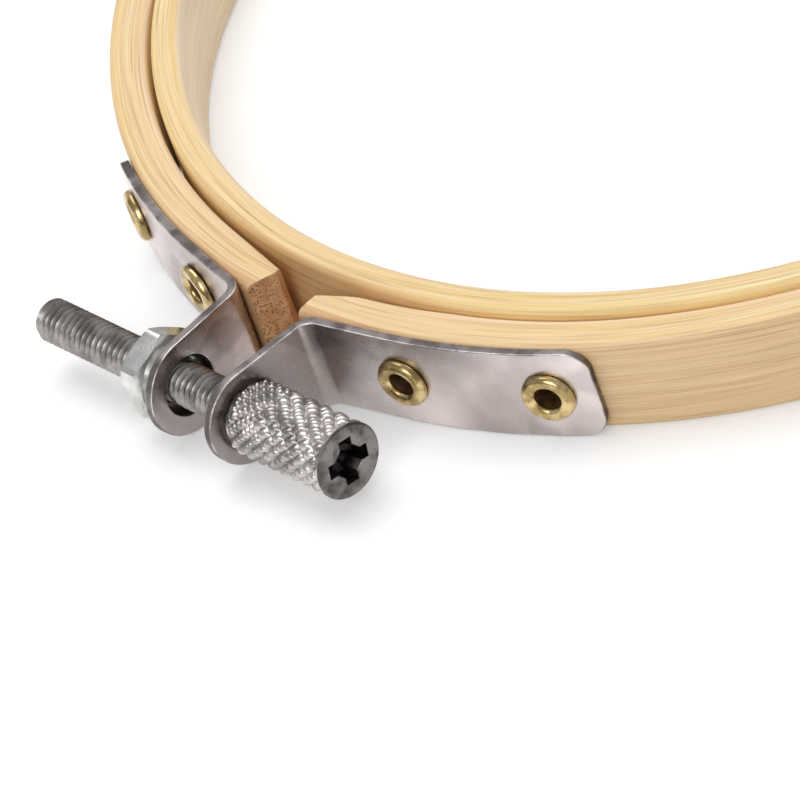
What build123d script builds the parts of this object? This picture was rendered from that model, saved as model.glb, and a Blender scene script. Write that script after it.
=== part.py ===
from build123d import *
import math
import os

# Embroidery hoop: a closed bamboo inner ring inside a split bamboo outer ring. Two bent steel
# brackets are riveted to the ends of the outer ring, and a knurled screw with a nut draws their
# ears together. Millimetres, +Z up. The origin is the centre of the inner ring's bore, at half its
# height. The clamp is at -Y, and its screw runs along X with the knurled head at +X.

# Rings
bore_radius = 51.8
inner_ring_wall = 2.9
inner_ring_height = 10.0
ring_gap = 0.4
outer_ring_wall = 3.6
outer_ring_height = 9.4
arris_radius = 0.7
arris_flat_count = 1

# Ends of the outer ring: the last stretch runs straight, as the end of a bent strip does
straight_end_angle = 12.0
split_gap_outside = 7.0
split_gap_inside = 5.4
split_corner_cut = 0.7
flex_gap = 0.3

# Brackets, bent from one strip each
strip_thickness = 0.85
strip_inset = 0.1
strip_end_angle = 31.5
strip_corner_radius = 2.2
strip_seat_gap = 0.04
bend_inside_radius = 1.3
ear_spacing = 8.0
screw_standoff = 9.1
ear_hole_play = 0.8

# Hollow brass eyelets
eyelet_near_angle = 13.4
eyelet_far_angle = 27.2
eyelet_bore_radius = 1.05
eyelet_wall = 0.3
eyelet_flange_radius = 2.2
eyelet_flange_height = 0.85
eyelet_rim_flat_count = 3
eyelet_dish_depth = 0.3
eyelet_clinch_radius = 1.95
eyelet_clinch_height = 0.45
eyelet_hole_gap = 0.04
eyelet_seat_gap = 0.06
clinch_recess = 0.15

# Clamp screw
thread_radius = 2.0
screw_length = 28.0
thread_end_chamfer = 0.5
head_radius = 3.5
head_length = 12.7
head_back_chamfer = 0.25
head_end_chamfer = 0.45
head_seat_gap = 0.1
recess_span = 4.6
recess_arm = 1.15
recess_depth = 2.4
recess_draft = 9.0

# Hexagon nut
nut_across_flats = 7.0
nut_thickness = 3.2
nut_chamfer_angle = 28.0
nut_bore_gap = 0.06
nut_countersink = 0.3
nut_seat_gap = 0.12

# One overrun for every cut
overrun = 1.0

# Sizes that follow from the ones above
inner_ring_radius = bore_radius + inner_ring_wall
outer_ring_bore = inner_ring_radius + ring_gap
outer_ring_radius = outer_ring_bore + outer_ring_wall
strip_seat = outer_ring_radius + strip_seat_gap
strip_face = strip_seat + strip_thickness
floor_height = -inner_ring_height / 2
mid_height = floor_height + outer_ring_height / 2
strip_width = outer_ring_height - 2 * strip_inset
screw_y = -(outer_ring_radius + screw_standoff)
ear_hole_radius = thread_radius + ear_hole_play
ear_face_x = ear_spacing / 2 + strip_thickness
eyelet_shank_radius = eyelet_bore_radius + eyelet_wall
eyelet_hole_radius = eyelet_shank_radius + eyelet_hole_gap


def on_ring(radius, angle):
    """Point at a radius and an angle, in degrees from -Y towards +X."""
    turn = math.radians(angle)
    return Vector(radius * math.sin(turn), -radius * math.cos(turn))


def on_tangent(radius, x):
    """Point at x on the straight end that leaves the circle of this radius."""
    turn = math.radians(straight_end_angle)
    return Vector(x, (x * math.sin(turn) - radius) / math.cos(turn))


def radial_frame(radius, angle):
    """Plane on the ring at an angle, its normal pointing outwards, at the middle of the height."""
    foot = on_ring(radius, angle)
    return Plane(
        origin=(foot.X, foot.Y, mid_height),
        x_dir=(0, 0, 1),
        z_dir=(foot.X, foot.Y, 0),
    )


def eased_arc(centre, radius, first_angle, last_angle, flat_count):
    """Points of a rounded edge that is eased in narrow flats, as sanding leaves it."""
    points = []
    for step in range(flat_count + 1):
        turn = math.radians(first_angle + (last_angle - first_angle) * step / flat_count)
        points.append((centre[0] + radius * math.cos(turn), centre[1] + radius * math.sin(turn)))
    return points


def ring_section(bore, wall, height):
    """Cross-section of a bamboo strip with eased edges, standing on the floor beside the axis."""
    across = (bore + arris_radius, bore + wall - arris_radius)
    upright = (floor_height + arris_radius, floor_height + height - arris_radius)
    outline = (
        eased_arc((across[1], upright[0]), arris_radius, -90, 0, arris_flat_count)
        + eased_arc((across[1], upright[1]), arris_radius, 0, 90, arris_flat_count)
        + eased_arc((across[0], upright[1]), arris_radius, 90, 180, arris_flat_count)
        + eased_arc((across[0], upright[0]), arris_radius, 180, 270, arris_flat_count)
    )
    return Plane.XZ * make_face(Polyline(*outline, close=True))


def make_inner_ring():
    return revolve(ring_section(bore_radius, inner_ring_wall, inner_ring_height), Axis.Z)


def eyelet_seat(angle):
    """Hole for an eyelet through the outer ring, with the shallow seat of its clinched end."""
    hole = extrude(
        radial_frame(outer_ring_bore - overrun, angle) * Circle(eyelet_hole_radius),
        outer_ring_wall + 2 * overrun,
    )
    seat = extrude(
        radial_frame(outer_ring_bore - overrun, angle)
        * Circle(eyelet_clinch_radius + eyelet_seat_gap),
        overrun + clinch_recess + eyelet_clinch_height + eyelet_seat_gap,
    )
    return hole + seat


def make_outer_half():
    """Right half of the split outer ring, from the back to its free end at the clamp."""
    section = ring_section(outer_ring_bore, outer_ring_wall, outer_ring_height)
    start = Rot(0, 0, straight_end_angle - 90) * section
    bent = revolve(start, Axis.Z, 180 - straight_end_angle)
    outside_end = on_tangent(outer_ring_radius, split_gap_outside / 2)
    inside_end = on_tangent(outer_ring_bore, split_gap_inside / 2)
    reach = (on_ring(outer_ring_radius, straight_end_angle) - inside_end).length
    ahead = on_ring(outer_ring_radius, straight_end_angle - 90).normalized()
    straight = extrude(start, reach, dir=ahead)

    # The sawn end face, and the corner that is broken on its inner side
    along_wall = (on_ring(outer_ring_bore, straight_end_angle) - inside_end).normalized()
    across_end = (outside_end - inside_end).normalized()
    corner_back = inside_end + along_wall * split_corner_cut
    corner_out = inside_end + across_end * split_corner_cut
    for cut_from, cut_to in ((inside_end, outside_end), (corner_back, corner_out)):
        cut_line = cut_to - cut_from
        cut_plane = Plane(
            origin=(cut_from.X, cut_from.Y, mid_height),
            x_dir=(0, 0, 1),
            z_dir=(-cut_line.Y, cut_line.X, 0),
        )
        straight = split(straight, bisect_by=cut_plane, keep=Keep.TOP)
    half = bent + straight
    half = split(half, bisect_by=Plane.YZ.offset(flex_gap / 2), keep=Keep.TOP)

    for angle in (eyelet_near_angle, eyelet_far_angle):
        half -= eyelet_seat(angle)
    return half


def strip_side(offset):
    """One face of the bent strip in plan, from its far end to the ear, at an offset from its seat."""
    turn = math.radians(straight_end_angle)
    bend_radius = bend_inside_radius + strip_thickness - offset
    bend_centre = on_tangent(strip_face + bend_inside_radius, ear_face_x + bend_inside_radius)
    bend_start = bend_centre + Vector(-math.sin(turn), math.cos(turn)) * bend_radius
    bend_end = bend_centre - Vector(bend_radius, 0)
    bend_middle = bend_centre + (bend_start + bend_end - bend_centre * 2).normalized() * bend_radius
    ear_end = Vector(bend_end.X, screw_y)
    radius = strip_seat + offset
    return (
        ThreePointArc(
            on_ring(radius, strip_end_angle),
            on_ring(radius, (strip_end_angle + straight_end_angle) / 2),
            on_ring(radius, straight_end_angle),
        ),
        Line(on_ring(radius, straight_end_angle), bend_start),
        ThreePointArc(bend_start, bend_middle, bend_end),
        Line(bend_end, ear_end),
    )


def make_bracket():
    """Right bracket: strip along the ring, bend, and an ear rounded about the screw hole."""
    seat_side = strip_side(0)
    face_side = strip_side(strip_thickness)
    outline = make_face(
        Curve() + [*seat_side, *face_side]
        + Line(seat_side[0] @ 0, face_side[0] @ 0)
        + Line(seat_side[-1] @ 1, face_side[-1] @ 1)
    )
    strip = Pos(0, 0, mid_height - strip_width / 2) * extrude(outline, strip_width)

    far_edges = strip.edges().filter_by(
        lambda edge: math.isclose(edge.length, strip_thickness, rel_tol=1e-6)
    )
    far_edges = far_edges.sort_by(Axis.X)[-2:]
    strip = fillet(far_edges, strip_corner_radius)

    ear_plane = Plane(origin=(ear_face_x - strip_thickness, screw_y, mid_height), z_dir=(1, 0, 0))
    strip += extrude(ear_plane * Circle(strip_width / 2), strip_thickness)
    hole_plane = Plane(origin=ear_plane.origin - Vector(overrun, 0, 0), z_dir=(1, 0, 0))
    strip -= extrude(hole_plane * Circle(ear_hole_radius), strip_thickness + 2 * overrun)
    for angle in (eyelet_near_angle, eyelet_far_angle):
        strip -= extrude(
            radial_frame(strip_seat - overrun, angle) * Circle(eyelet_hole_radius),
            strip_thickness + 2 * overrun,
        )
    return strip


def make_eyelet(angle):
    """Hollow rivet: rolled flange outside the bracket, clinched flare in the ring's inner wall."""
    clinch_end = -(strip_face - outer_ring_bore - clinch_recess)
    flange_top = eyelet_seat_gap + eyelet_flange_height
    rim_radius = eyelet_flange_height / 2
    rim_middle = eyelet_seat_gap + rim_radius
    rim_centre = (eyelet_flange_radius - rim_radius, rim_middle)
    outline = [
        (eyelet_bore_radius, clinch_end),
        (eyelet_clinch_radius, clinch_end),
        (eyelet_shank_radius, clinch_end + eyelet_clinch_height),
        (eyelet_shank_radius, eyelet_seat_gap),
        *eased_arc(rim_centre, rim_radius, -90, 90, eyelet_rim_flat_count),
        (eyelet_bore_radius, flange_top - eyelet_dish_depth),
    ]
    profile = make_face(Polyline(*outline, close=True))
    upright = revolve(Plane.XZ * profile, Axis.Z)
    return radial_frame(strip_face, angle).location * upright


def make_screw():
    """Screw standing on +Z as it is turned on a lathe, then laid along X with its head at +X."""
    shank = Cylinder(thread_radius, screw_length, align=(Align.CENTER, Align.CENTER, Align.MAX))
    shank = chamfer(shank.edges().sort_by(Axis.Z)[0], thread_end_chamfer)
    head = Cylinder(head_radius, head_length, align=(Align.CENTER, Align.CENTER, Align.MIN))
    head = chamfer(head.edges().group_by(Axis.Z)[0], head_back_chamfer)
    head = chamfer(head.edges().group_by(Axis.Z)[-1], head_end_chamfer)
    cross = Rectangle(recess_span, recess_arm) + Rectangle(recess_arm, recess_span)
    recess = extrude(
        Plane.XY.offset(head_length) * cross, -recess_depth, taper=recess_draft
    )
    screw = head + shank - recess
    return Pos(ear_face_x + head_seat_gap, screw_y, mid_height) * Rot(0, 90, 0) * screw


def make_nut():
    """Hexagon nut, chamfered on both faces, with its inner face by the left ear."""
    corner_radius = nut_across_flats / 2 / math.cos(math.pi / 6)
    flat_radius = nut_across_flats / 2
    blank = extrude(RegularPolygon(flat_radius, 6, major_radius=False), nut_thickness)
    drop = (corner_radius - flat_radius) * math.tan(math.radians(nut_chamfer_angle))
    turned = Cylinder(
        corner_radius, nut_thickness, align=(Align.CENTER, Align.CENTER, Align.MIN)
    )
    turned = chamfer(turned.edges().filter_by(GeomType.CIRCLE), drop, corner_radius - flat_radius)
    blank = blank & turned
    bore = thread_radius + nut_bore_gap
    blank -= Cylinder(bore, nut_thickness, align=(Align.CENTER, Align.CENTER, Align.MIN))
    rims = blank.edges().filter_by(GeomType.CIRCLE).filter_by(
        lambda edge: edge.radius < bore + nut_countersink
    )
    blank = chamfer(rims, nut_countersink)
    inner_face_x = -(ear_face_x + nut_seat_gap)
    return Pos(inner_face_x, screw_y, mid_height) * Rot(0, -90, 0) * blank


def mirrored(solid):
    return mirror(solid, about=Plane.YZ)


def build_hoop():
    pieces = {
        "inner_ring": make_inner_ring(),
        "outer_ring_right": make_outer_half(),
        "bracket_right": make_bracket(),
        "eyelet_right_near": make_eyelet(eyelet_near_angle),
        "eyelet_right_far": make_eyelet(eyelet_far_angle),
        "clamp_screw": make_screw(),
        "hex_nut": make_nut(),
    }
    for name in ("outer_ring_right", "bracket_right", "eyelet_right_near", "eyelet_right_far"):
        pieces[name.replace("right", "left")] = mirrored(pieces[name])
    return pieces


if __name__ == "__main__":
    os.makedirs("parts", exist_ok=True)
    for name, solid in build_hoop().items():
        export_step(solid, f"parts/{name}.step")
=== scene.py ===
import math

import bmesh
import bpy
from mathutils import Matrix, Vector, noise


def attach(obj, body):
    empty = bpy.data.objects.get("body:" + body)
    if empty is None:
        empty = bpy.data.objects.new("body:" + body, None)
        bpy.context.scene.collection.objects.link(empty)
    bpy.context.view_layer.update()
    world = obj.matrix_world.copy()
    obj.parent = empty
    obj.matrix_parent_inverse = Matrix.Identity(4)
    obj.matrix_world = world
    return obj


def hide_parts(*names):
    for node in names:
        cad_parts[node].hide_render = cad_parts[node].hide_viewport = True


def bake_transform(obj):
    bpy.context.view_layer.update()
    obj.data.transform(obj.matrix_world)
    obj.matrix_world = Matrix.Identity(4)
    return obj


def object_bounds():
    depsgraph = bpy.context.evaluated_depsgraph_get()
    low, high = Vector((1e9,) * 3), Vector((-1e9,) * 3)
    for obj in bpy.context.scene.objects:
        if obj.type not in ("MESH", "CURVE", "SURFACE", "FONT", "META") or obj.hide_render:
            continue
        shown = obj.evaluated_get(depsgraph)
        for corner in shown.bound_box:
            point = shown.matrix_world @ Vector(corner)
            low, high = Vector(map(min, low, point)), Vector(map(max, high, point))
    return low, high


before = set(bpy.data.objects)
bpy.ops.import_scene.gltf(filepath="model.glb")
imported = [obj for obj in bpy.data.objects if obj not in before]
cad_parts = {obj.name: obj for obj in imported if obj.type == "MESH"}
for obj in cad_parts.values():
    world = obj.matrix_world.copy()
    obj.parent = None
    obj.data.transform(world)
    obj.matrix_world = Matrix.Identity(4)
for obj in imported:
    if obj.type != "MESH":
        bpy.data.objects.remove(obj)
cad_low, cad_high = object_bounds()


# Studio: a wide white floor under the hoop, soft boxes above and beside it, and the camera where
# the photograph was taken, looking down on the clamp with the picture turned a little.
view_right = Vector((0.66113, 0.69822, -0.27459))
view_up = Vector((-0.31194, 0.58866, 0.74577))
view_back = Vector((0.68235, -0.40740, 0.60698))
camera_data = bpy.data.cameras.new("camera")
camera_data.lens = 540
camera_data.sensor_width = 36
camera = bpy.data.objects.new("camera", camera_data)
camera.matrix_world = Matrix.Translation((0.714504, -0.477333, 0.621640)) @ Matrix(
    (view_right, view_up, view_back)
).transposed().to_4x4()
bpy.context.scene.collection.objects.link(camera)
bpy.context.scene.camera = camera
bpy.context.scene.view_settings.view_transform = "Standard"


def new_material(name):
    """An empty node material and a function that adds a node with its inputs set or linked."""
    material = bpy.data.materials.new(name)
    material.use_nodes = True
    material.node_tree.nodes.clear()
    return material, node_adder(material.node_tree)


def node_adder(tree):
    """The function that adds nodes to this tree. Inputs are named, or numbered after an underline."""

    def add(kind, settings=(), **inputs):
        node = tree.nodes.new("ShaderNode" + kind)
        for key, value in dict(settings).items():
            setattr(node, key, value)
        for key, value in inputs.items():
            socket = node.inputs[int(key[1:])] if key[1:].isdigit() else node.inputs[key.replace("_", " ")]
            if isinstance(value, bpy.types.NodeSocket):
                tree.links.new(value, socket)
            else:
                socket.default_value = value
        return node

    return add


floor_reach = 15
floor_drop = 0.00002
floor_glow = 0.3
floor_mesh = bpy.data.meshes.new("floor")
floor_form = bmesh.new()
bmesh.ops.create_grid(floor_form, x_segments=1, y_segments=1, size=floor_reach)
bmesh.ops.translate(floor_form, verts=floor_form.verts, vec=(0, 0, cad_low.z - floor_drop))
floor_form.to_mesh(floor_mesh)
floor = bpy.data.objects.new("floor", floor_mesh)
bpy.context.scene.collection.objects.link(floor)

floor_material, add = new_material("white floor")
rays = add("LightPath")
seen = rays.outputs["Is Camera Ray"]
for kind in ("Is Glossy Ray", "Is Transmission Ray"):
    seen = add("Math", {"operation": "ADD", "use_clamp": True}, _0=seen, _1=rays.outputs[kind]).outputs[0]
lift = add("Math", {"operation": "MULTIPLY"}, _0=seen, _1=floor_glow)
glow = add("Emission", Color=(1, 1, 1, 1), Strength=lift.outputs[0])
matt = add("BsdfDiffuse", Color=(0.82, 0.82, 0.82, 1))
both = add("AddShader", _0=matt.outputs[0], _1=glow.outputs[0])
add("OutputMaterial", Surface=both.outputs[0])
floor_mesh.materials.append(floor_material)

world = bpy.data.worlds.new("studio")
bpy.context.scene.world = world
world.use_nodes = True
world.node_tree.nodes["Background"].inputs["Color"].default_value = (0.95, 0.97, 1, 1)
world.node_tree.nodes["Background"].inputs["Strength"].default_value = 0.5

for name, place, size, power in (
    ("overhead box", (-0.35, 0.15, 0.95), 0.9, 5.8),
    ("camera side box", (0.55, -0.95, 0.75), 0.7, 4.1),
):
    lamp_data = bpy.data.lights.new(name, "AREA")
    lamp_data.shape = "SQUARE"
    lamp_data.size = size
    lamp_data.energy = power
    lamp = bpy.data.objects.new(name, lamp_data)
    lamp.location = place
    lamp.rotation_euler = (-Vector(place)).to_track_quat("-Z", "Y").to_euler()
    lamp.visible_camera = False
    bpy.context.scene.collection.objects.link(lamp)


# Inner hoop: one closed ring of bamboo, bent from a strip and glued at a scarf. It stands a little
# higher than the outer ring. Its arrises are sanded round and its long fibres run with the ring.
bore_radius = 0.0518
inner_wall = 0.0029
inner_height = 0.0100
arris = 0.0007
bottom = -0.0050
ring_steps = 300
fibre_width = 0.00032
fibre_length = 0.022
fibre_relief = 0.000035
waver_length = 0.016
waver_width = 0.004
waver_depth = 0.00005
spin_start = math.radians(205)
scarf_length = 0.020


def strip_section(form, radius, wall, height, angle):
    """Cross-section of a bamboo strip, standing beside the axis at an angle from -Y towards +X."""
    corners = [
        form.verts.new((0, -radius - depth, bottom + up))
        for depth, up in ((0, 0), (wall, 0), (wall, height), (0, height))
    ]
    section = form.faces.new(corners)
    bmesh.ops.bevel(
        form, geom=corners, offset=arris, offset_type="OFFSET", segments=5,
        profile=0.5, affect="VERTICES", material=-1,
    )
    for side in sorted(form.edges, key=lambda edge: edge.calc_length())[-4:]:
        bmesh.ops.subdivide_edges(form, edges=[side], cuts=int(side.calc_length() / fibre_width))
    bmesh.ops.delete(form, geom=form.faces[:], context="FACES_ONLY")
    bmesh.ops.rotate(form, verts=form.verts, matrix=Matrix.Rotation(angle, 3, "Z"))
    return form.edges[:]


def turn_round(place, radius, seam):
    """Angle from -Y towards +X, counted on from the seam, which may slant through the wall."""
    start = seam[0] + seam[1] * (place.xy.length - radius)
    return start + (math.atan2(place.x, -place.y) - start) % (2 * math.pi)


def raise_fibres(form, radius, seam, seed):
    """Sinks the surface between the fibres, and lets the strip's wall waver as hand sanding does."""
    form.normal_update()
    moved = []
    for vert in form.verts:
        around = turn_round(vert.co, radius, seam) * radius
        across = Vector((vert.co.xy.length - radius, vert.co.z))
        fine = across / fibre_width * 0.5
        broad = across / waver_width
        fibre = noise.noise(Vector((around / fibre_length + seed, fine.x, fine.y)))
        wave = noise.noise(Vector((around / waver_length, broad.x + seed, broad.y)))
        sink = fibre_relief * (0.8 + fibre) + waver_depth * (0.6 + wave)
        moved.append(vert.co - vert.normal * max(sink, 0))
    for vert, place in zip(form.verts, moved):
        vert.co = place


def lay_grain(form, radius, seam):
    """Stores at each face corner the distance along the strip, through its wall and up its height."""
    layer = form.loops.layers.float_vector.new("grain")
    for face in form.faces:
        middle = turn_round(face.calc_center_median(), radius, seam)
        for loop in face.loops:
            turn = math.atan2(loop.vert.co.x, -loop.vert.co.y)
            turn += 2 * math.pi * round((middle - turn) / (2 * math.pi))
            loop[layer] = (turn * radius, loop.vert.co.xy.length - radius, loop.vert.co.z)


def make_piece(name, form, materials, sharp=35):
    """A finished object from a form, smooth but for its sharp edges."""
    mesh = bpy.data.meshes.new(name)
    form.to_mesh(mesh)
    form.free()
    mesh.shade_smooth()
    mesh.set_sharp_from_angle(angle=math.radians(sharp))
    for material in materials:
        mesh.materials.append(material)
    piece = bpy.data.objects.new(name, mesh)
    bpy.context.scene.collection.objects.link(piece)
    return piece


def make_bamboo(name, tones, radius, skin_depth, seed, gold):
    """Bare sanded bamboo: pale ground, peach bands, soft brown streaks and fine dark fibre lines.

    The strip's inner wall is planed smooth and its tone is brightened there as painted light. Its
    outer skin is amber from skin_depth on. Towards the clamp its wood reddens, partly its own tint
    and partly painted shade, and its skin turns reddish brown with painted shade of the gap
    between the rings. Gold is the strength of its yellow streaks.
    """
    material, add = new_material(name)
    grain = add("Attribute", {"attribute_name": "grain"}).outputs["Vector"]
    pale, peach, brown, amber = tones
    golden = (0.90, 0.64, 0.25, 1)
    planed_tone_with_painted_light = (1.0, 0.79, 0.555, 1)
    red_tint_and_painted_shade = (0.80, 0.47, 0.24, 1)
    skin_painted_shade = (0.62, 0.32, 0.14, 1)
    dark_fibre = (0.44, 0.23, 0.09, 1)

    def stretched(length, width, detail, offset):
        placed = add(
            "Mapping", Vector=grain,
            Location=(seed + offset, offset * 1.7, offset * 0.6),
            Scale=(1 / length, 1 / width, 1 / width),
        )
        return add(
            "TexNoise", {"noise_dimensions": "3D"}, Vector=placed.outputs[0],
            Scale=1.0, Detail=detail, Roughness=0.55,
        ).outputs["Fac"]

    def between(value, low, high, top=1.0):
        return add(
            "MapRange", {"interpolation_type": "SMOOTHSTEP"},
            Value=value, From_Min=low, From_Max=high, To_Max=top,
        ).outputs["Result"]

    def times(first, second):
        return add("Math", {"operation": "MULTIPLY"}, _0=first, _1=second).outputs[0]

    def raised(value, factor, base):
        return add("Math", {"operation": "MULTIPLY_ADD"}, _0=value, _1=factor, _2=base).outputs[0]

    def mixed(share, first, second, mode="MIX"):
        return add("Mix", {"data_type": "RGBA", "blend_type": mode}, _0=share, _6=first, _7=second).outputs[2]

    along, depth, _ = add("SeparateXYZ", Vector=grain).outputs
    from_clamp = add("Math", {"operation": "PINGPONG"}, _0=along, _1=math.pi * radius).outputs[0]
    near_clamp = between(from_clamp, 0.022, 0.003)
    skin = between(depth, skin_depth - 0.0004, skin_depth)
    planed = between(depth, 0.0007, 0.0002)
    marked = raised(planed, -0.65, 1.0)
    bands = between(stretched(0.060, 0.0015, 2.0, 0.0), 0.40, 0.60)
    streaks = between(stretched(0.020, 0.00034, 3.0, 3.0), 0.46, 0.66)
    patches = between(stretched(0.030, 0.0022, 1.0, 7.0), 0.36, 0.60)
    lines = between(stretched(0.016, 0.00017, 2.0, 11.0), 0.585, 0.67)
    yellow = between(stretched(0.045, 0.0010, 1.0, 17.0), 0.54, 0.68)
    fine = stretched(0.008, 0.00010, 2.0, 29.0)

    colour = mixed(bands, pale, peach)
    colour = mixed(times(yellow, gold), colour, golden)
    # painted light: the planed inner wall's tone is pushed towards white to brighten that wall
    colour = mixed(times(planed, 0.90), colour, planed_tone_with_painted_light)
    colour = mixed(times(skin, 0.75), colour, amber)
    # reddening towards the clamp: partly the wood's own tint, partly painted shade of the gap
    colour = mixed(times(near_clamp, 0.16), colour, red_tint_and_painted_shade)
    # painted shade: the skin near the clamp turns reddish brown, as the gap between the rings is shaded
    colour = mixed(times(times(near_clamp, skin), 0.60), colour, skin_painted_shade)
    colour = mixed(times(times(streaks, raised(patches, 0.36, 0.26)), marked), colour, brown)
    colour = mixed(times(times(lines, raised(near_clamp, 0.22, 0.32)), marked), colour, dark_fibre)
    shade = add("MapRange", Value=fine, From_Min=0.3, From_Max=0.7, To_Min=0.87, To_Max=1.07)
    shade = shade.outputs["Result"]
    shade = add("CombineColor", Red=shade, Green=shade, Blue=shade).outputs[0]
    colour = mixed(1.0, colour, shade, "MULTIPLY")
    bump = add("Bump", Strength=0.30, Distance=0.00006, Height=raised(lines, -1.2, fine))
    rough = add("MapRange", Value=streaks, To_Min=0.46, To_Max=0.64)
    surface = add(
        "BsdfPrincipled", Base_Color=colour, Roughness=rough.outputs["Result"],
        Normal=bump.outputs[0],
    )
    add("OutputMaterial", Surface=surface.outputs[0])
    return material


inner_form = bmesh.new()
section = strip_section(inner_form, bore_radius, inner_wall, inner_height, spin_start)
bmesh.ops.spin(
    inner_form, geom=section, cent=(0, 0, 0), axis=(0, 0, 1), dvec=(0, 0, 0),
    angle=2 * math.pi, steps=ring_steps, use_merge=True,
)
bmesh.ops.recalc_face_normals(inner_form, faces=inner_form.faces)
scarf = (-math.pi - scarf_length / 2 / bore_radius, scarf_length / inner_wall / bore_radius)
raise_fibres(inner_form, bore_radius, scarf, 0.0)
lay_grain(inner_form, bore_radius, scarf)
inner_tones = (
    (0.97, 0.82, 0.46, 1), (0.95, 0.70, 0.36, 1), (0.74, 0.48, 0.23, 1), (0.97, 0.71, 0.31, 1),
)
inner_bamboo = make_bamboo("inner bamboo", inner_tones, bore_radius, inner_wall - 0.0003, seed=0.0, gold=0.85)
inner_hoop = make_piece("inner_hoop", inner_form, [inner_bamboo])
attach(inner_hoop, "inner_ring")
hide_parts("inner_ring")


# Outer hoop: one springy bamboo strip bent round the inner ring and left open at the clamp. Its
# ends run straight and are sawn across, the right one pared thin inside. It presses close to the
# inner ring on either side of the clamp.
outer_bore = 0.0551
outer_wall = 0.0036
outer_height = 0.0094
straight_angle = math.radians(12)
straight_run = 0.0110
run_steps = 10
straight_reach = 0.0123
straight_back = -0.050
end_cuts = {1: (0.0032, 0.0031, 0.0050, 0.0013), -1: (0.0035, 0.0022, 0.0007, 0.0007)}
right_closeness = 0.00033
left_closeness = 0.00027
pressed_depth = 0.0012
# spans in degrees from the clamp over which the closeness comes and goes, then its height
right_pressed = ((11, 17), (125, 100))
left_pressed = ((-12, -18), (-170, -150))
left_eased = (-78, -32)
left_ease = 0.38
left_pressed_height = (0.0018, -0.0002)


def on_ring(radius, angle):
    """Point on a circle about the axis, at an angle from -Y towards +X."""
    return Vector((radius * math.sin(angle), -radius * math.cos(angle), 0))


def on_straight(radius, x):
    """Point at x on the straight end that leaves a circle of this radius."""
    return Vector((x, (x * math.sin(straight_angle) - radius) / math.cos(straight_angle), 0))


def part_way(value, start, end):
    """How far a value has come from start to end, held between 0 and 1."""
    return min(1, max(0, (value - start) / (end - start)))


outer_form = bmesh.new()
section = strip_section(outer_form, outer_bore, outer_wall, outer_height, straight_angle)
swept = bmesh.ops.spin(
    outer_form, geom=section, cent=(0, 0, 0), axis=(0, 0, 1), dvec=(0, 0, 0),
    angle=2 * math.pi - 2 * straight_angle, steps=ring_steps, use_merge=False,
)
last = [item for item in swept["geom_last"] if isinstance(item, bmesh.types.BMEdge)]
for loop_edges, side in ((section, 1), (last, -1)):
    ahead = Vector((-side * math.cos(straight_angle), -math.sin(straight_angle), 0))
    straight_faces = []
    for step in range(run_steps):
        grown = bmesh.ops.extrude_edge_only(outer_form, edges=loop_edges)["geom"]
        loop_edges = [item for item in grown if isinstance(item, bmesh.types.BMEdge) and item.is_boundary]
        straight_faces += [item for item in grown if isinstance(item, bmesh.types.BMFace)]
        ends = list({vert for edge in loop_edges for vert in edge.verts})
        bmesh.ops.translate(outer_form, verts=ends, vec=ahead * (straight_run / run_steps))
    outside_x, inside_x, taper_length, taper_depth = end_cuts[side]
    outside_end = on_straight(outer_bore + outer_wall, outside_x)
    inside_end = on_straight(outer_bore, inside_x)
    along_wall = (on_ring(outer_bore, straight_angle) - inside_end).normalized()
    across_end = (outside_end - inside_end).normalized()
    taper_back = inside_end + along_wall * taper_length
    taper_out = inside_end + across_end * taper_depth
    for cut_from, cut_to in ((inside_end, outside_end), (taper_back, taper_out)):
        along_cut = (cut_to - cut_from).normalized()
        outwards = Vector((along_cut.y * side, -along_cut.x, 0))
        place = Vector((cut_from.x * side, cut_from.y, 0))
        near = straight_faces + list({edge for face in straight_faces for edge in face.edges})
        near += list({vert for face in straight_faces for vert in face.verts})
        bmesh.ops.bisect_plane(
            outer_form, geom=near, dist=1e-7, plane_co=place, plane_no=outwards, clear_outer=True,
        )
        open_edges = [
            edge for edge in outer_form.edges if edge.is_boundary and edge.verts[0].co.x * side > 0
        ]
        cap = bmesh.ops.holes_fill(outer_form, edges=open_edges, sides=0)["faces"]
        for face in cap:
            face.material_index = 1 if cut_from == inside_end or side < 0 else 0
        straight_faces = []
        for face in outer_form.faces:
            middle = face.calc_center_median()
            if middle.y < straight_back and 0 < middle.x * side < straight_reach:
                straight_faces.append(face)
bmesh.ops.triangulate(outer_form, faces=[face for face in outer_form.faces if len(face.verts) > 4])
bmesh.ops.recalc_face_normals(outer_form, faces=outer_form.faces)

# pressed inwards, most on the right, where the strip has taken the inner ring's shape
for vert in outer_form.verts:
    turn = math.degrees(math.atan2(vert.co.x, -vert.co.y))
    if turn > 0:
        shift = right_closeness * min(part_way(turn, *span) for span in right_pressed)
    else:
        fade = min(part_way(turn, *span) for span in left_pressed)
        fade = min(fade, max(left_ease, part_way(turn, *left_eased)))
        shift = left_closeness * fade * part_way(vert.co.z, *left_pressed_height)
    shift *= part_way(vert.co.xy.length - outer_bore, pressed_depth, 0)
    vert.co.xy -= vert.co.xy.normalized() * shift
raise_fibres(outer_form, outer_bore, (0, 0), 5.0)
lay_grain(outer_form, outer_bore, (0, 0))
outer_tones = (
    (0.96, 0.75, 0.43, 1), (0.93, 0.66, 0.365, 1), (0.70, 0.43, 0.20, 1), (0.86, 0.60, 0.33, 1),
)
outer_bamboo = make_bamboo("outer bamboo", outer_tones, outer_bore, outer_wall - 0.0002, seed=40.0, gold=0.5)

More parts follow.
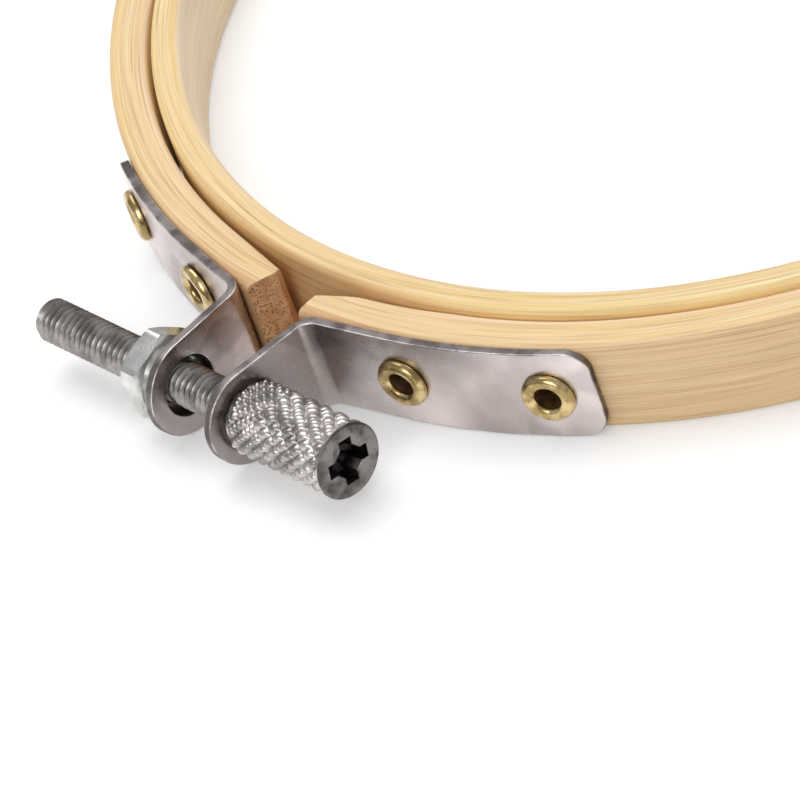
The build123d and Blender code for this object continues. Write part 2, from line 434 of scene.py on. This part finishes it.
# the sawn ends show the strip's dark vessels, which crowd towards its skin
end_grain, add = new_material("bamboo end grain")
grain = add("Attribute", {"attribute_name": "grain"}).outputs["Vector"]
flat_grain = add("Mapping", Vector=grain, Scale=(0, 1, 1)).outputs[0]
pores = add("TexVoronoi", {"feature": "F1"}, Vector=flat_grain, Scale=4200.0, Randomness=1.0)
pores = pores.outputs["Distance"]
depth = add("SeparateXYZ", Vector=grain).outputs[1]
crowd = add("MapRange", Value=depth, From_Max=outer_wall, To_Min=0.20, To_Max=0.36).outputs["Result"]
holes = add("Math", {"operation": "LESS_THAN"}, _0=pores, _1=crowd).outputs[0]
cloud = add("TexNoise", Vector=flat_grain, Scale=900.0, Detail=3.0).outputs["Fac"]
ramp = add("ValToRGB", Fac=cloud)
ramp.color_ramp.elements[0].position = 0.3
ramp.color_ramp.elements[0].color = (0.60, 0.30, 0.13, 1)
ramp.color_ramp.elements[1].position = 0.7
ramp.color_ramp.elements[1].color = (0.86, 0.50, 0.25, 1)
faint = add("Math", {"operation": "MULTIPLY"}, _0=holes, _1=0.78).outputs[0]
tone = add("Mix", {"data_type": "RGBA"}, _0=faint, _6=ramp.outputs[0], _7=(0.13, 0.055, 0.025, 1))
pit = add("Bump", {"invert": True}, Strength=0.5, Distance=0.00006, Height=pores)
surface = add("BsdfPrincipled", Base_Color=tone.outputs[2], Roughness=0.8, Normal=pit.outputs[0])
add("OutputMaterial", Surface=surface.outputs[0])

# drilled for the eyelets, with a shallow seat for each flared tail
mid_height = -0.0003
rivet_angles = {
    "right": {"near": math.radians(13.4), "far": math.radians(27.2)},
    "left": {"near": math.radians(12.3), "far": math.radians(25.4)},
}
rivet_hole_radius = 0.00149
tail_seat_radius = 0.00201
tail_seat_depth = 0.00066
drill_low = -0.0010
drill_high = 0.0060


def rivet_place(side, angle, radius):
    """Where an eyelet sits: its axis points outwards at this angle, from this radius."""
    outwards = on_ring(1, side * angle)
    seat = outwards * radius + Vector((0, 0, mid_height))
    return Matrix.Translation(seat) @ outwards.to_track_quat("Z", "Y").to_matrix().to_4x4()


drill_form = bmesh.new()
for side_name, side in (("right", 1), ("left", -1)):
    for angle in rivet_angles[side_name].values():
        outline = [
            drill_form.verts.new((radius, 0, up)) for radius, up in (
                (0, drill_low), (tail_seat_radius, drill_low), (tail_seat_radius, tail_seat_depth),
                (rivet_hole_radius, tail_seat_depth), (rivet_hole_radius, drill_high), (0, drill_high),
            )
        ]
        chain = [drill_form.edges.new(pair) for pair in zip(outline, outline[1:])]
        bmesh.ops.spin(
            drill_form, geom=chain, cent=(0, 0, 0), axis=(0, 0, 1), dvec=(0, 0, 0),
            angle=2 * math.pi, steps=36, use_merge=True,
        )
        loose = [vert for vert in drill_form.verts if not vert.tag]
        bmesh.ops.transform(drill_form, verts=loose, matrix=rivet_place(side, angle, outer_bore))
        for vert in loose:
            vert.tag = True
bmesh.ops.remove_doubles(drill_form, verts=drill_form.verts, dist=1e-7)
bmesh.ops.recalc_face_normals(drill_form, faces=drill_form.faces)
drill = make_piece("drill", drill_form, [])

outer_hoop = make_piece("outer_hoop", outer_form, [outer_bamboo, end_grain])
drilled = outer_hoop.modifiers.new("drilled", "BOOLEAN")
drilled.object = drill
drilled.operation = "DIFFERENCE"
drilled.solver = "EXACT"
solid_mesh = outer_hoop.data
outer_hoop.data = bpy.data.meshes.new_from_object(
    outer_hoop.evaluated_get(bpy.context.evaluated_depsgraph_get())
)
outer_hoop.modifiers.clear()
bpy.data.meshes.remove(solid_mesh)
bpy.data.objects.remove(drill)
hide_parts("outer_ring_right", "outer_ring_left")
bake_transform(outer_hoop)


# Brackets: one strip of rolled steel each, its blank cut with round ends and punched for the screw
# and two eyelets, then curved to the ring and bent out into an ear. The left one is a little
# shorter, and the two ears lean towards each other where the screw has drawn them in.
strip_seat = 0.05874
strip_thickness = 0.00085
strip_width = 0.0092
strip_angles = {"right": math.radians(31.5), "left": math.radians(28.7)}
strip_corner = 0.0022
edge_round = 0.00010
bend_radius = 0.0013
ear_face = 0.00485
ear_lean = math.radians(2.8)
screw_y = -0.0678
ear_hole_radius = 0.0028
curve_step = 0.0008
bend_steps = 20
ear_offsets = (-0.0036, -0.0018, 0, 0.0018, 0.0036)
painted_ear_shade_length = 0.0015

bend_centre = on_straight(strip_seat + strip_thickness + bend_radius, ear_face + bend_radius)
bend_start = bend_centre + Vector((-math.sin(straight_angle), math.cos(straight_angle), 0)) * (
    bend_radius + strip_thickness
)
flat_run = (bend_start - on_ring(strip_seat, straight_angle)).length
bend_run = (math.pi / 2 - straight_angle - ear_lean) * (bend_radius + strip_thickness)
ear_inwards = Vector((-math.cos(ear_lean), math.sin(ear_lean), 0))
ear_ahead = Vector((-math.sin(ear_lean), -math.cos(ear_lean), 0))
ear_start = bend_centre + ear_inwards * (bend_radius + strip_thickness / 2)
ear_run = (ear_start.y - screw_y) / math.cos(ear_lean)


def bend_point(place, curved_run):
    """Takes a point of the flat blank (length, depth, height) to its place on the bent bracket."""
    along, depth, up = place
    past_curve = along - curved_run
    reach = bend_radius + strip_thickness - depth
    if past_curve < 0:
        bent = on_ring(strip_seat + depth, straight_angle - past_curve / strip_seat)
    elif past_curve < flat_run:
        ahead = Vector((-math.cos(straight_angle), -math.sin(straight_angle), 0))
        bent = on_ring(strip_seat + depth, straight_angle) + ahead * past_curve
    elif past_curve < flat_run + bend_run:
        turn = math.pi / 2 + straight_angle + (past_curve - flat_run) / (bend_radius + strip_thickness)
        bent = bend_centre + Vector((math.cos(turn), math.sin(turn), 0)) * reach
    else:
        bent = bend_centre + ear_inwards * reach + ear_ahead * (past_curve - flat_run - bend_run)
    return Vector((bent.x, bent.y, mid_height + up))


def make_bracket(side_name, side, materials):
    """A bracket cut, punched and rounded as a flat blank, and then bent.

    Its broad faces, its sheared edges and its arrises have a material each, and its ear is darkened
    with painted shade from late in the bend on.
    """
    form = bmesh.new()
    strip_angle = strip_angles[side_name]
    curved_run = strip_seat * (strip_angle - straight_angle)
    blank_length = curved_run + flat_run + bend_run + ear_run
    low, high = -strip_width / 2, strip_width / 2
    ear_end = blank_length + strip_width / 2
    outline = [
        form.verts.new(place)
        for place in ((0, 0, low), (ear_end, 0, low), (ear_end, 0, high), (0, 0, high))
    ]
    form.faces.new(outline)
    far = [outline[0], outline[3]]
    near = [outline[1], outline[2]]
    for corners, radius in ((far, strip_corner), (near, strip_width / 2 * 0.999)):
        bmesh.ops.bevel(
            form, geom=corners, offset=radius, offset_type="OFFSET", segments=20,
            profile=0.5, affect="VERTICES", material=-1,
        )
    bmesh.ops.delete(form, geom=form.faces[:], context="FACES_ONLY")
    punched = [(blank_length, ear_hole_radius, 64)]
    for angle in rivet_angles[side_name].values():
        punched.append((strip_seat * (strip_angle - angle), rivet_hole_radius, 32))
    for along, radius, segments in punched:
        bmesh.ops.create_circle(
            form, cap_ends=False, radius=radius, segments=segments,
            matrix=Matrix.Translation((along, 0, 0)) @ Matrix.Rotation(math.pi / 2, 4, "X"),
        )
    bmesh.ops.triangle_fill(
        form, use_beauty=True, use_dissolve=False, edges=form.edges[:], normal=(0, -1, 0),
    )
    raised = bmesh.ops.extrude_face_region(form, geom=form.faces[:])["geom"]
    raised = [item for item in raised if isinstance(item, bmesh.types.BMVert)]
    bmesh.ops.translate(form, verts=raised, vec=(0, strip_thickness, 0))
    bmesh.ops.recalc_face_normals(form, faces=form.faces)
    rims = [edge for edge in form.edges if edge.calc_face_angle(0) > math.radians(60)]
    bmesh.ops.bevel(
        form, geom=rims, offset=edge_round, offset_type="OFFSET", segments=3,
        profile=0.5, affect="EDGES", clamp_overlap=True, material=-1,
    )
    cuts = [curve_step * step for step in range(1, 26)]
    bend_from = curved_run + flat_run
    cuts += [bend_from + bend_run * step / bend_steps for step in range(bend_steps + 1)]
    cuts += [blank_length + offset for offset in ear_offsets]
    for along in cuts:
        bmesh.ops.bisect_plane(
            form, geom=form.faces[:] + form.edges[:] + form.verts[:], dist=1e-7,
            plane_co=(along, 0, 0), plane_no=(1, 0, 0),
        )
    form.normal_update()
    for face in form.faces:
        across = abs(face.normal.y)
        face.material_index = 0 if across > 0.98 else 1 if across < 0.08 else 2
    # painted shade: the ear, from late in the bend on, is marked to be darkened
    handled = form.verts.layers.float.new("handled")
    painted_ear_shade_from = bend_from + bend_run * 0.85
    for vert in form.verts:
        vert[handled] = part_way(vert.co.x, painted_ear_shade_from, painted_ear_shade_from + painted_ear_shade_length)
        vert.co = bend_point(vert.co, curved_run)
    bmesh.ops.scale(form, verts=form.verts, vec=(side, 1, 1))
    bmesh.ops.recalc_face_normals(form, faces=form.faces)
    piece = make_piece(f"{side_name}_bracket", form, materials, sharp=50)
    shading = piece.modifiers.new("even shading", "WEIGHTED_NORMAL")
    shading.weight = 80
    shading.keep_sharp = True
    return piece


def make_metal(name, light, dark, cloud_scale, grain_scale, roughness, spots=0.0, stains_and_painted_reflections=0.0):
    """Worn metal: two tones in soft clouds, fine scratches and a slightly uneven skin.

    Larger, darker patches are partly stains and partly painted reflections, and a mesh's painted ear shade
    attribute darkens it further with painted shade.
    """
    material, add = new_material(name)
    speck_tone = (0.03, 0.025, 0.02, 1)
    stain_and_painted_shade_tone = (0.17, 0.145, 0.14, 1)
    smooth = {"interpolation_type": "SMOOTHSTEP"}
    place = add("TexCoord").outputs["Object"]
    cloud = add("TexNoise", Vector=place, Scale=cloud_scale, Detail=3.0, Roughness=0.5).outputs["Fac"]
    fine = add("TexNoise", Vector=place, Scale=grain_scale, Detail=4.0, Roughness=0.6).outputs["Fac"]
    share = add("MapRange", smooth, Value=cloud, From_Min=0.36, From_Max=0.64).outputs["Result"]
    colour = add("Mix", {"data_type": "RGBA"}, _0=share, _6=dark, _7=light).outputs[2]
    if spots:
        speck = add("MapRange", Value=fine, From_Min=0.60, From_Max=0.68, To_Max=spots).outputs["Result"]
        colour = add("Mix", {"data_type": "RGBA"}, _0=speck, _6=colour, _7=speck_tone).outputs[2]
    # larger darker patches, partly stains and partly painted dark reflections; the ear mark adds painted
    # shade
    if stains_and_painted_reflections:
        patch = add("TexNoise", Vector=place, Scale=170.0, Detail=1.0, Distortion=0.4).outputs["Fac"]
        patch = add("MapRange", smooth, Value=patch, From_Min=0.57, From_Max=0.64, To_Max=stains_and_painted_reflections)
        handled = add("Attribute", {"attribute_name": "handled"}).outputs["Fac"]
        cover = add(
            "Math", {"operation": "MULTIPLY_ADD", "use_clamp": True},
            _0=handled, _1=0.52, _2=patch.outputs["Result"],
        ).outputs[0]
        colour = add("Mix", {"data_type": "RGBA"}, _0=cover, _6=colour, _7=stain_and_painted_shade_tone).outputs[2]
    rough = add(
        "MapRange", Value=fine,
        From_Min=0.3, From_Max=0.7, To_Min=roughness * 0.8, To_Max=roughness * 1.25,
    )
    skin = add("Bump", Strength=0.25, Distance=0.00002, Height=fine)
    surface = add(
        "BsdfPrincipled", Base_Color=colour, Metallic=1.0,
        Roughness=rough.outputs["Result"], Normal=skin.outputs[0],
    )
    add("OutputMaterial", Surface=surface.outputs[0])
    return material


# the rolled steel's broad two-tone clouds and its dark patches are partly stains, partly painted reflections
bracket_steels = [
    make_metal(
        "rolled steel", (0.83, 0.745, 0.725, 1), (0.46, 0.40, 0.38, 1), 80.0, 1600.0, 0.30, stains_and_painted_reflections=0.28,
    ),
    make_metal("sheared steel edge", (0.26, 0.23, 0.22, 1), (0.12, 0.10, 0.095, 1), 420.0, 1500.0, 0.45, 0.4),
    make_metal("worn arris", (0.66, 0.63, 0.61, 1), (0.26, 0.24, 0.23, 1), 420.0, 2600.0, 0.28, 0.5),
]
for side_name, side, body in (("right", 1, "fixed_side"), ("left", -1, "moving_side")):
    bracket = make_bracket(side_name, side, bracket_steels)
    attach(bracket, body)
    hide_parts(f"bracket_{side_name}")


# Eyelets: four hollow brass rivets. Each is drawn from thin tube, its head rolled over the bracket
# into a rounded rim with a dished mouth, and its tail flared into the seat in the ring's inner wall.
rivet_bore = 0.00115
rivet_shank = 0.00145
rivet_head = 0.00245
rivet_rise = 0.00075
rivet_flare = 0.00195
flare_length = 0.00045
tail_inset = 0.00015
tail = -(strip_seat + strip_thickness - outer_bore - tail_inset)
rim_width = 0.00060
mouth_dip = 0.00045
mouth_depth = 0.0008
dent_depth = 0.00003


def make_eyelet(name, side, angle, materials):
    """A hollow rivet turned from its profile, its rim a little dented, its bore darkened with painted shade.
    """
    form = bmesh.new()
    lift = 0.00006
    heel = 0.00012
    crown = rivet_head - rim_width
    profile = [
        (rivet_bore, tail), (rivet_flare, tail), (rivet_shank, tail + flare_length), (rivet_shank, lift),
        (rivet_head - heel, lift), (rivet_head - heel * 0.3, lift + heel * 0.3),
    ]
    for step in range(11):
        turn = math.pi / 2 * step / 10
        profile.append((
            crown + (rivet_head - crown) * math.cos(turn),
            lift + heel + (rivet_rise - heel) * math.sin(turn),
        ))
    for step in range(1, 9):
        turn = math.pi / 2 * step / 8
        profile.append((
            crown - (crown - rivet_bore) * math.sin(turn),
            lift + rivet_rise - mouth_dip * (1 - math.cos(turn)),
        ))
    profile.append((rivet_bore, -mouth_depth))
    profile = [form.verts.new((radius, 0, up)) for radius, up in profile]
    chain = [form.edges.new(pair) for pair in zip(profile, profile[1:] + profile[:1])]
    bmesh.ops.spin(
        form, geom=chain, cent=(0, 0, 0), axis=(0, 0, 1), dvec=(0, 0, 0),
        angle=2 * math.pi, steps=72, use_merge=True,
    )
    for vert in form.verts:
        if vert.co.z > lift + heel:
            dent = noise.noise(Vector((vert.co.x, vert.co.y, angle * 0.01)) * 900)
            vert.co.z -= dent_depth * max(0, dent + 0.2)
    # painted shade: faces inside the bore take a darker brass
    for face in form.faces:
        centre = face.calc_center_median()
        in_bore = centre.xy.length < rivet_bore + 0.00002 and centre.z < 0.0003
        face.material_index = 1 if in_bore else 0
    place = rivet_place(side, angle, strip_seat + strip_thickness)
    bmesh.ops.transform(form, verts=form.verts, matrix=place)
    bmesh.ops.recalc_face_normals(form, faces=form.faces)
    return make_piece(name, form, materials, sharp=50)


eyelet_brasses = [
    make_metal("tarnished brass", (0.80, 0.62, 0.32, 1), (0.38, 0.27, 0.11, 1), 620.0, 3000.0, 0.22, 0.5),
    make_metal("brass bore with painted shade", (0.40, 0.26, 0.12, 1), (0.20, 0.12, 0.055, 1), 900.0, 3000.0, 0.55),
]
for side_name, side, body in (("right", 1, "fixed_side"), ("left", -1, "moving_side")):
    for place_name, angle in rivet_angles[side_name].items():
        eyelet = make_eyelet(f"{side_name}_{place_name}_eyelet", side, angle, eyelet_brasses)
        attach(eyelet, body)
        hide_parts(f"eyelet_{side_name}_{place_name}")


# Clamp screw: a steel M4 screw with a shoulder, a long knurled head and a cross recess in its end.
# Its thread is rolled, and the shoulder rests against the right ear.
thread_radius = 0.0020
thread_root = 0.00158
pitch = 0.0007
tip = -0.022596
shoulder_start = 0.004754
shoulder_radius = 0.0029
head_start = 0.005154
head_radius = 0.0035
head_length = 0.0120
head_end = head_start + head_length
knurl_depth = 0.00042
knurl_starts = (16, 12)
knurl_pitches = (0.00141, 0.00195)
twice_run_length = 0.0034
end_band = 0.00025
face_groove_radius = 0.00302
recess_turn = math.radians(-7.5)
recess_half_span = 0.0023
recess_half_arm = 0.00070
recess_fillet = 0.00075
recess_depth = 0.0024


def close_end(form, place):
    """Fills the open edges that lie across the X axis at this place."""
    across = [
        edge for edge in form.edges
        if edge.is_boundary and all(abs(vert.co.x - place) < 1e-6 for vert in edge.verts)
    ]
    bmesh.ops.holes_fill(form, edges=across, sides=0)


screw_form = bmesh.new()
# thread: one pitch of profile, wound along the shank
turn_steps = 28
thread_end = shoulder_start + 0.00010
turns = int((thread_end - tip) / pitch) + 2
wound_from = thread_end + pitch
thread_depth = thread_radius - thread_root
profile = [
    screw_form.verts.new((wound_from - share * pitch, thread_root + thread_depth * height, 0))
    for share, height in ((0, 0), (0.08, 0), (0.42, 0.94), (0.50, 1), (0.58, 0.94), (0.92, 0), (1, 0))
]
chain = [screw_form.edges.new(pair) for pair in zip(profile, profile[1:])]
bmesh.ops.spin(
    screw_form, geom=chain, cent=(0, 0, 0), axis=(1, 0, 0), dvec=(-pitch / turn_steps, 0, 0),
    angle=2 * math.pi * turns, steps=turn_steps * turns, use_merge=False,
)
bmesh.ops.remove_doubles(screw_form, verts=screw_form.verts, dist=2e-6)
for place, outwards in ((thread_end, 1), (tip, -1)):
    bmesh.ops.bisect_plane(
        screw_form, geom=screw_form.faces[:] + screw_form.edges[:] + screw_form.verts[:], dist=1e-7,
        plane_co=(place, 0, 0), plane_no=(outwards, 0, 0), clear_outer=True,
    )
    close_end(screw_form, place)
for vert in screw_form.verts:
    rim = thread_radius - 0.0005 + (vert.co.x - tip)
    if vert.co.yz.length > rim:
        vert.co.yz = vert.co.yz.normalized() * rim

# knurled head: a fine net of faces round the axis, pressed into crossing grooves. The wheel that
# pressed one set of grooves ran twice over the end by the ear.
head_rows = 132
head_columns = 240
made = set(screw_form.verts)
profile = [
    (shoulder_start, thread_root * 0.9), (shoulder_start, shoulder_radius - 0.00010),
    (shoulder_start + 0.00010, shoulder_radius), (head_start, shoulder_radius),
    (head_start, head_radius - 0.00025),
]
knurled_length = head_length - 0.00040
profile += [
    (head_start + 0.00022 + knurled_length * row / head_rows, head_radius) for row in range(head_rows + 1)
]
profile += [
    (head_end - 0.00004, head_radius - 0.00012), (head_end, head_radius - 0.00022),
    (head_end, face_groove_radius + 0.00010), (head_end - 0.00005, face_groove_radius),
    (head_end - 0.00002, face_groove_radius - 0.00014),
]
profile = [screw_form.verts.new((along, radius, 0)) for along, radius in profile]
chain = [screw_form.edges.new(pair) for pair in zip(profile, profile[1:])]
bmesh.ops.spin(
    screw_form, geom=chain, cent=(0, 0, 0), axis=(1, 0, 0), dvec=(0, 0, 0),
    angle=2 * math.pi, steps=head_columns, use_merge=True,
)
close_end(screw_form, shoulder_start)
for vert in screw_form.verts:
    if vert in made or vert.co.yz.length < head_radius - 0.00001:
        continue
    along = vert.co.x - head_start
    around = math.atan2(vert.co.z, vert.co.y) / (2 * math.pi)
    stray = 0.10 * noise.noise(vert.co * 700)
    first = abs(math.sin(math.pi * (knurl_starts[0] * around + along / knurl_pitches[0] + stray)))
    crossing = knurl_starts[1] * around - along / knurl_pitches[1] - stray
    second = abs(math.sin(math.pi * crossing * (2 if along < twice_run_length else 1)))
    bead = (first * second) ** 0.5
    band = part_way(along, head_length - end_band, head_length - end_band - 0.0004)
    sink = knurl_depth * (1 - bead) * band
    vert.co.yz *= (head_radius - sink) / vert.co.yz.length

# end face with the cross recess
face_ring = [
    edge for edge in screw_form.edges if edge.is_boundary and edge.verts[0].co.x > head_end - 0.00003
]
recess_bend = recess_half_arm + recess_fillet
cross = []
for quarter in range(4):
    for far, near in (
        (recess_half_span, -recess_half_arm), (recess_half_span, recess_half_arm),
        (recess_bend, recess_half_arm), (recess_half_arm, recess_bend),
    ):
        turned = Matrix.Rotation(quarter * math.pi / 2 + recess_turn, 3, "X")
        cross.append(screw_form.verts.new(turned @ Vector((head_end - 0.00002, far, near))))
cross_edges = [screw_form.edges.new(pair) for pair in zip(cross, cross[1:] + cross[:1])]
bmesh.ops.triangle_fill(
    screw_form, use_beauty=True, use_dissolve=False, edges=face_ring + cross_edges, normal=(1, 0, 0),
)
for depth, taper in ((0.00008, 0.95), (recess_depth * 0.7, 0.82), (recess_depth * 0.27, 0.35)):
    sunk = bmesh.ops.extrude_edge_only(screw_form, edges=cross_edges)["geom"]
    verts = [item for item in sunk if isinstance(item, bmesh.types.BMVert)]
    cross_edges = [item for item in sunk if isinstance(item, bmesh.types.BMEdge) and item.is_boundary]
    bmesh.ops.translate(screw_form, verts=verts, vec=(-depth, 0, 0))
    bmesh.ops.scale(screw_form, verts=verts, vec=(1, taper, taper))
bmesh.ops.holes_fill(screw_form, edges=cross_edges, sides=0)
bmesh.ops.recalc_face_normals(screw_form, faces=screw_form.faces)
for face in screw_form.faces:
    centre = face.calc_center_median()
    if centre.x < shoulder_start - 1e-6:
        face.material_index = 0
    elif centre.x > head_end - 0.00012:
        face.material_index = 2
    else:
        # painted shade: the cross recess takes a near-black metal
        in_recess = centre.yz.length <= 0.0025 and centre.x >= head_start + 0.0001
        face.material_index = 3 if in_recess else 1
bmesh.ops.translate(screw_form, verts=screw_form.verts, vec=(0, screw_y, mid_height))
screw_materials = [
    make_metal("rolled thread", (0.42, 0.39, 0.37, 1), (0.22, 0.20, 0.19, 1), 500.0, 2600.0, 0.32, 0.4),
    make_metal("knurled steel", (0.66, 0.61, 0.58, 1), (0.34, 0.31, 0.29, 1), 500.0, 2600.0, 0.31, 0.4),
    make_metal("turned end face", (0.25, 0.232, 0.225, 1), (0.10, 0.092, 0.088, 1), 620.0, 2600.0, 0.40, 0.6),
    make_metal("painted shade in the recess", (0.07, 0.064, 0.06, 1), (0.025, 0.022, 0.02, 1), 500.0, 2600.0, 0.45),
]
clamp_screw = make_piece("knurled_screw", screw_form, screw_materials, sharp=40)
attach(clamp_screw, "screw")
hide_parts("clamp_screw")


# Nut: a bright zinc-plated hexagon nut with a round collar, chamfered on both faces, run up
# against the left ear.
across_flats = 0.0076
nut_thickness = 0.00255
nut_face_radius = 0.0036
nut_corner = 0.00020
collar_radius = 0.0033
collar_length = 0.0011
nut_bore = 0.00206
nut_countersink = 0.0003
nut_start = -0.004793
corner_angle = math.radians(22.6)
chamfer_slope = math.tan(math.radians(32))

nut_form = bmesh.new()
hexagon = bmesh.ops.create_circle(
    nut_form, cap_ends=True, radius=across_flats / 2 / math.cos(math.pi / 6), segments=6
)["verts"]
turned = math.atan2(hexagon[0].co.x, hexagon[0].co.y) - corner_angle
bmesh.ops.rotate(nut_form, verts=hexagon, matrix=Matrix.Rotation(turned, 3, "Z"))
bmesh.ops.bevel(
    nut_form, geom=hexagon, offset=nut_corner, offset_type="OFFSET", segments=3,
    profile=0.5, affect="VERTICES", material=-1,
)
flats = sorted(nut_form.edges, key=lambda edge: edge.calc_length())[-6:]
bmesh.ops.subdivide_edges(nut_form, edges=flats, cuts=11)
bmesh.ops.delete(nut_form, geom=nut_form.faces[:], context="FACES_ONLY")
lower_edges = nut_form.edges[:]
raised = bmesh.ops.extrude_edge_only(nut_form, edges=lower_edges)["geom"]
upper_edges = [item for item in raised if isinstance(item, bmesh.types.BMEdge) and item.is_boundary]
upper_edges = [edge for edge in upper_edges if edge not in lower_edges]
rings = {
    "upper": ((nut_face_radius, 0), (nut_bore + nut_countersink, 0), (nut_bore, nut_countersink)),
    "lower": (
        (nut_face_radius, 0), (collar_radius, 0), (collar_radius, 0.00010 - collar_length),
        (collar_radius - 0.00010, -collar_length), (nut_bore + nut_countersink, -collar_length),
        (nut_bore, nut_countersink - collar_length),
    ),
}
for name, edges, level, inwards in (("upper", upper_edges, nut_thickness, -1), ("lower", lower_edges, 0, 1)):
    for vert in {vert for edge in edges for vert in edge.verts}:
        vert.co.z = level + inwards * max(0, vert.co.xy.length - nut_face_radius) * chamfer_slope
    for radius, drop in rings[name]:
        grown = bmesh.ops.extrude_edge_only(nut_form, edges=edges)["geom"]
        fresh = {item for item in grown if isinstance(item, bmesh.types.BMVert)}
        edges = [
            item for item in grown
            if isinstance(item, bmesh.types.BMEdge) and item.is_boundary and set(item.verts) <= fresh
        ]
        for vert in fresh:
            vert.co.xy = vert.co.xy.normalized() * radius
            vert.co.z = level + inwards * drop
open_edges = [edge for edge in nut_form.edges if edge.is_boundary]
bmesh.ops.bridge_loops(nut_form, edges=open_edges)
nut_place = Matrix.Translation((nut_start - collar_length, screw_y, mid_height))
bmesh.ops.transform(
    nut_form, verts=nut_form.verts, matrix=nut_place @ Matrix.Rotation(-math.pi / 2, 4, "Y"),
)
bmesh.ops.recalc_face_normals(nut_form, faces=nut_form.faces)
# painted shade: the collar's end face, seen through the ear's hole, takes a near-black metal
for face in nut_form.faces:
    face.material_index = 1 if face.calc_center_median().x > nut_start - 0.00012 else 0
collar_painted_shade = make_metal("collar with painted shade", (0.10, 0.09, 0.08, 1), (0.04, 0.035, 0.03, 1), 500.0, 2200.0, 0.50)
zinc = make_metal("bright zinc", (0.78, 0.79, 0.77, 1), (0.52, 0.53, 0.50, 1), 300.0, 2200.0, 0.18, 0.3)
clamp_nut = make_piece("clamp_nut", nut_form, [zinc, collar_painted_shade], sharp=25)
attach(clamp_nut, "nut")
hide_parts("hex_nut")
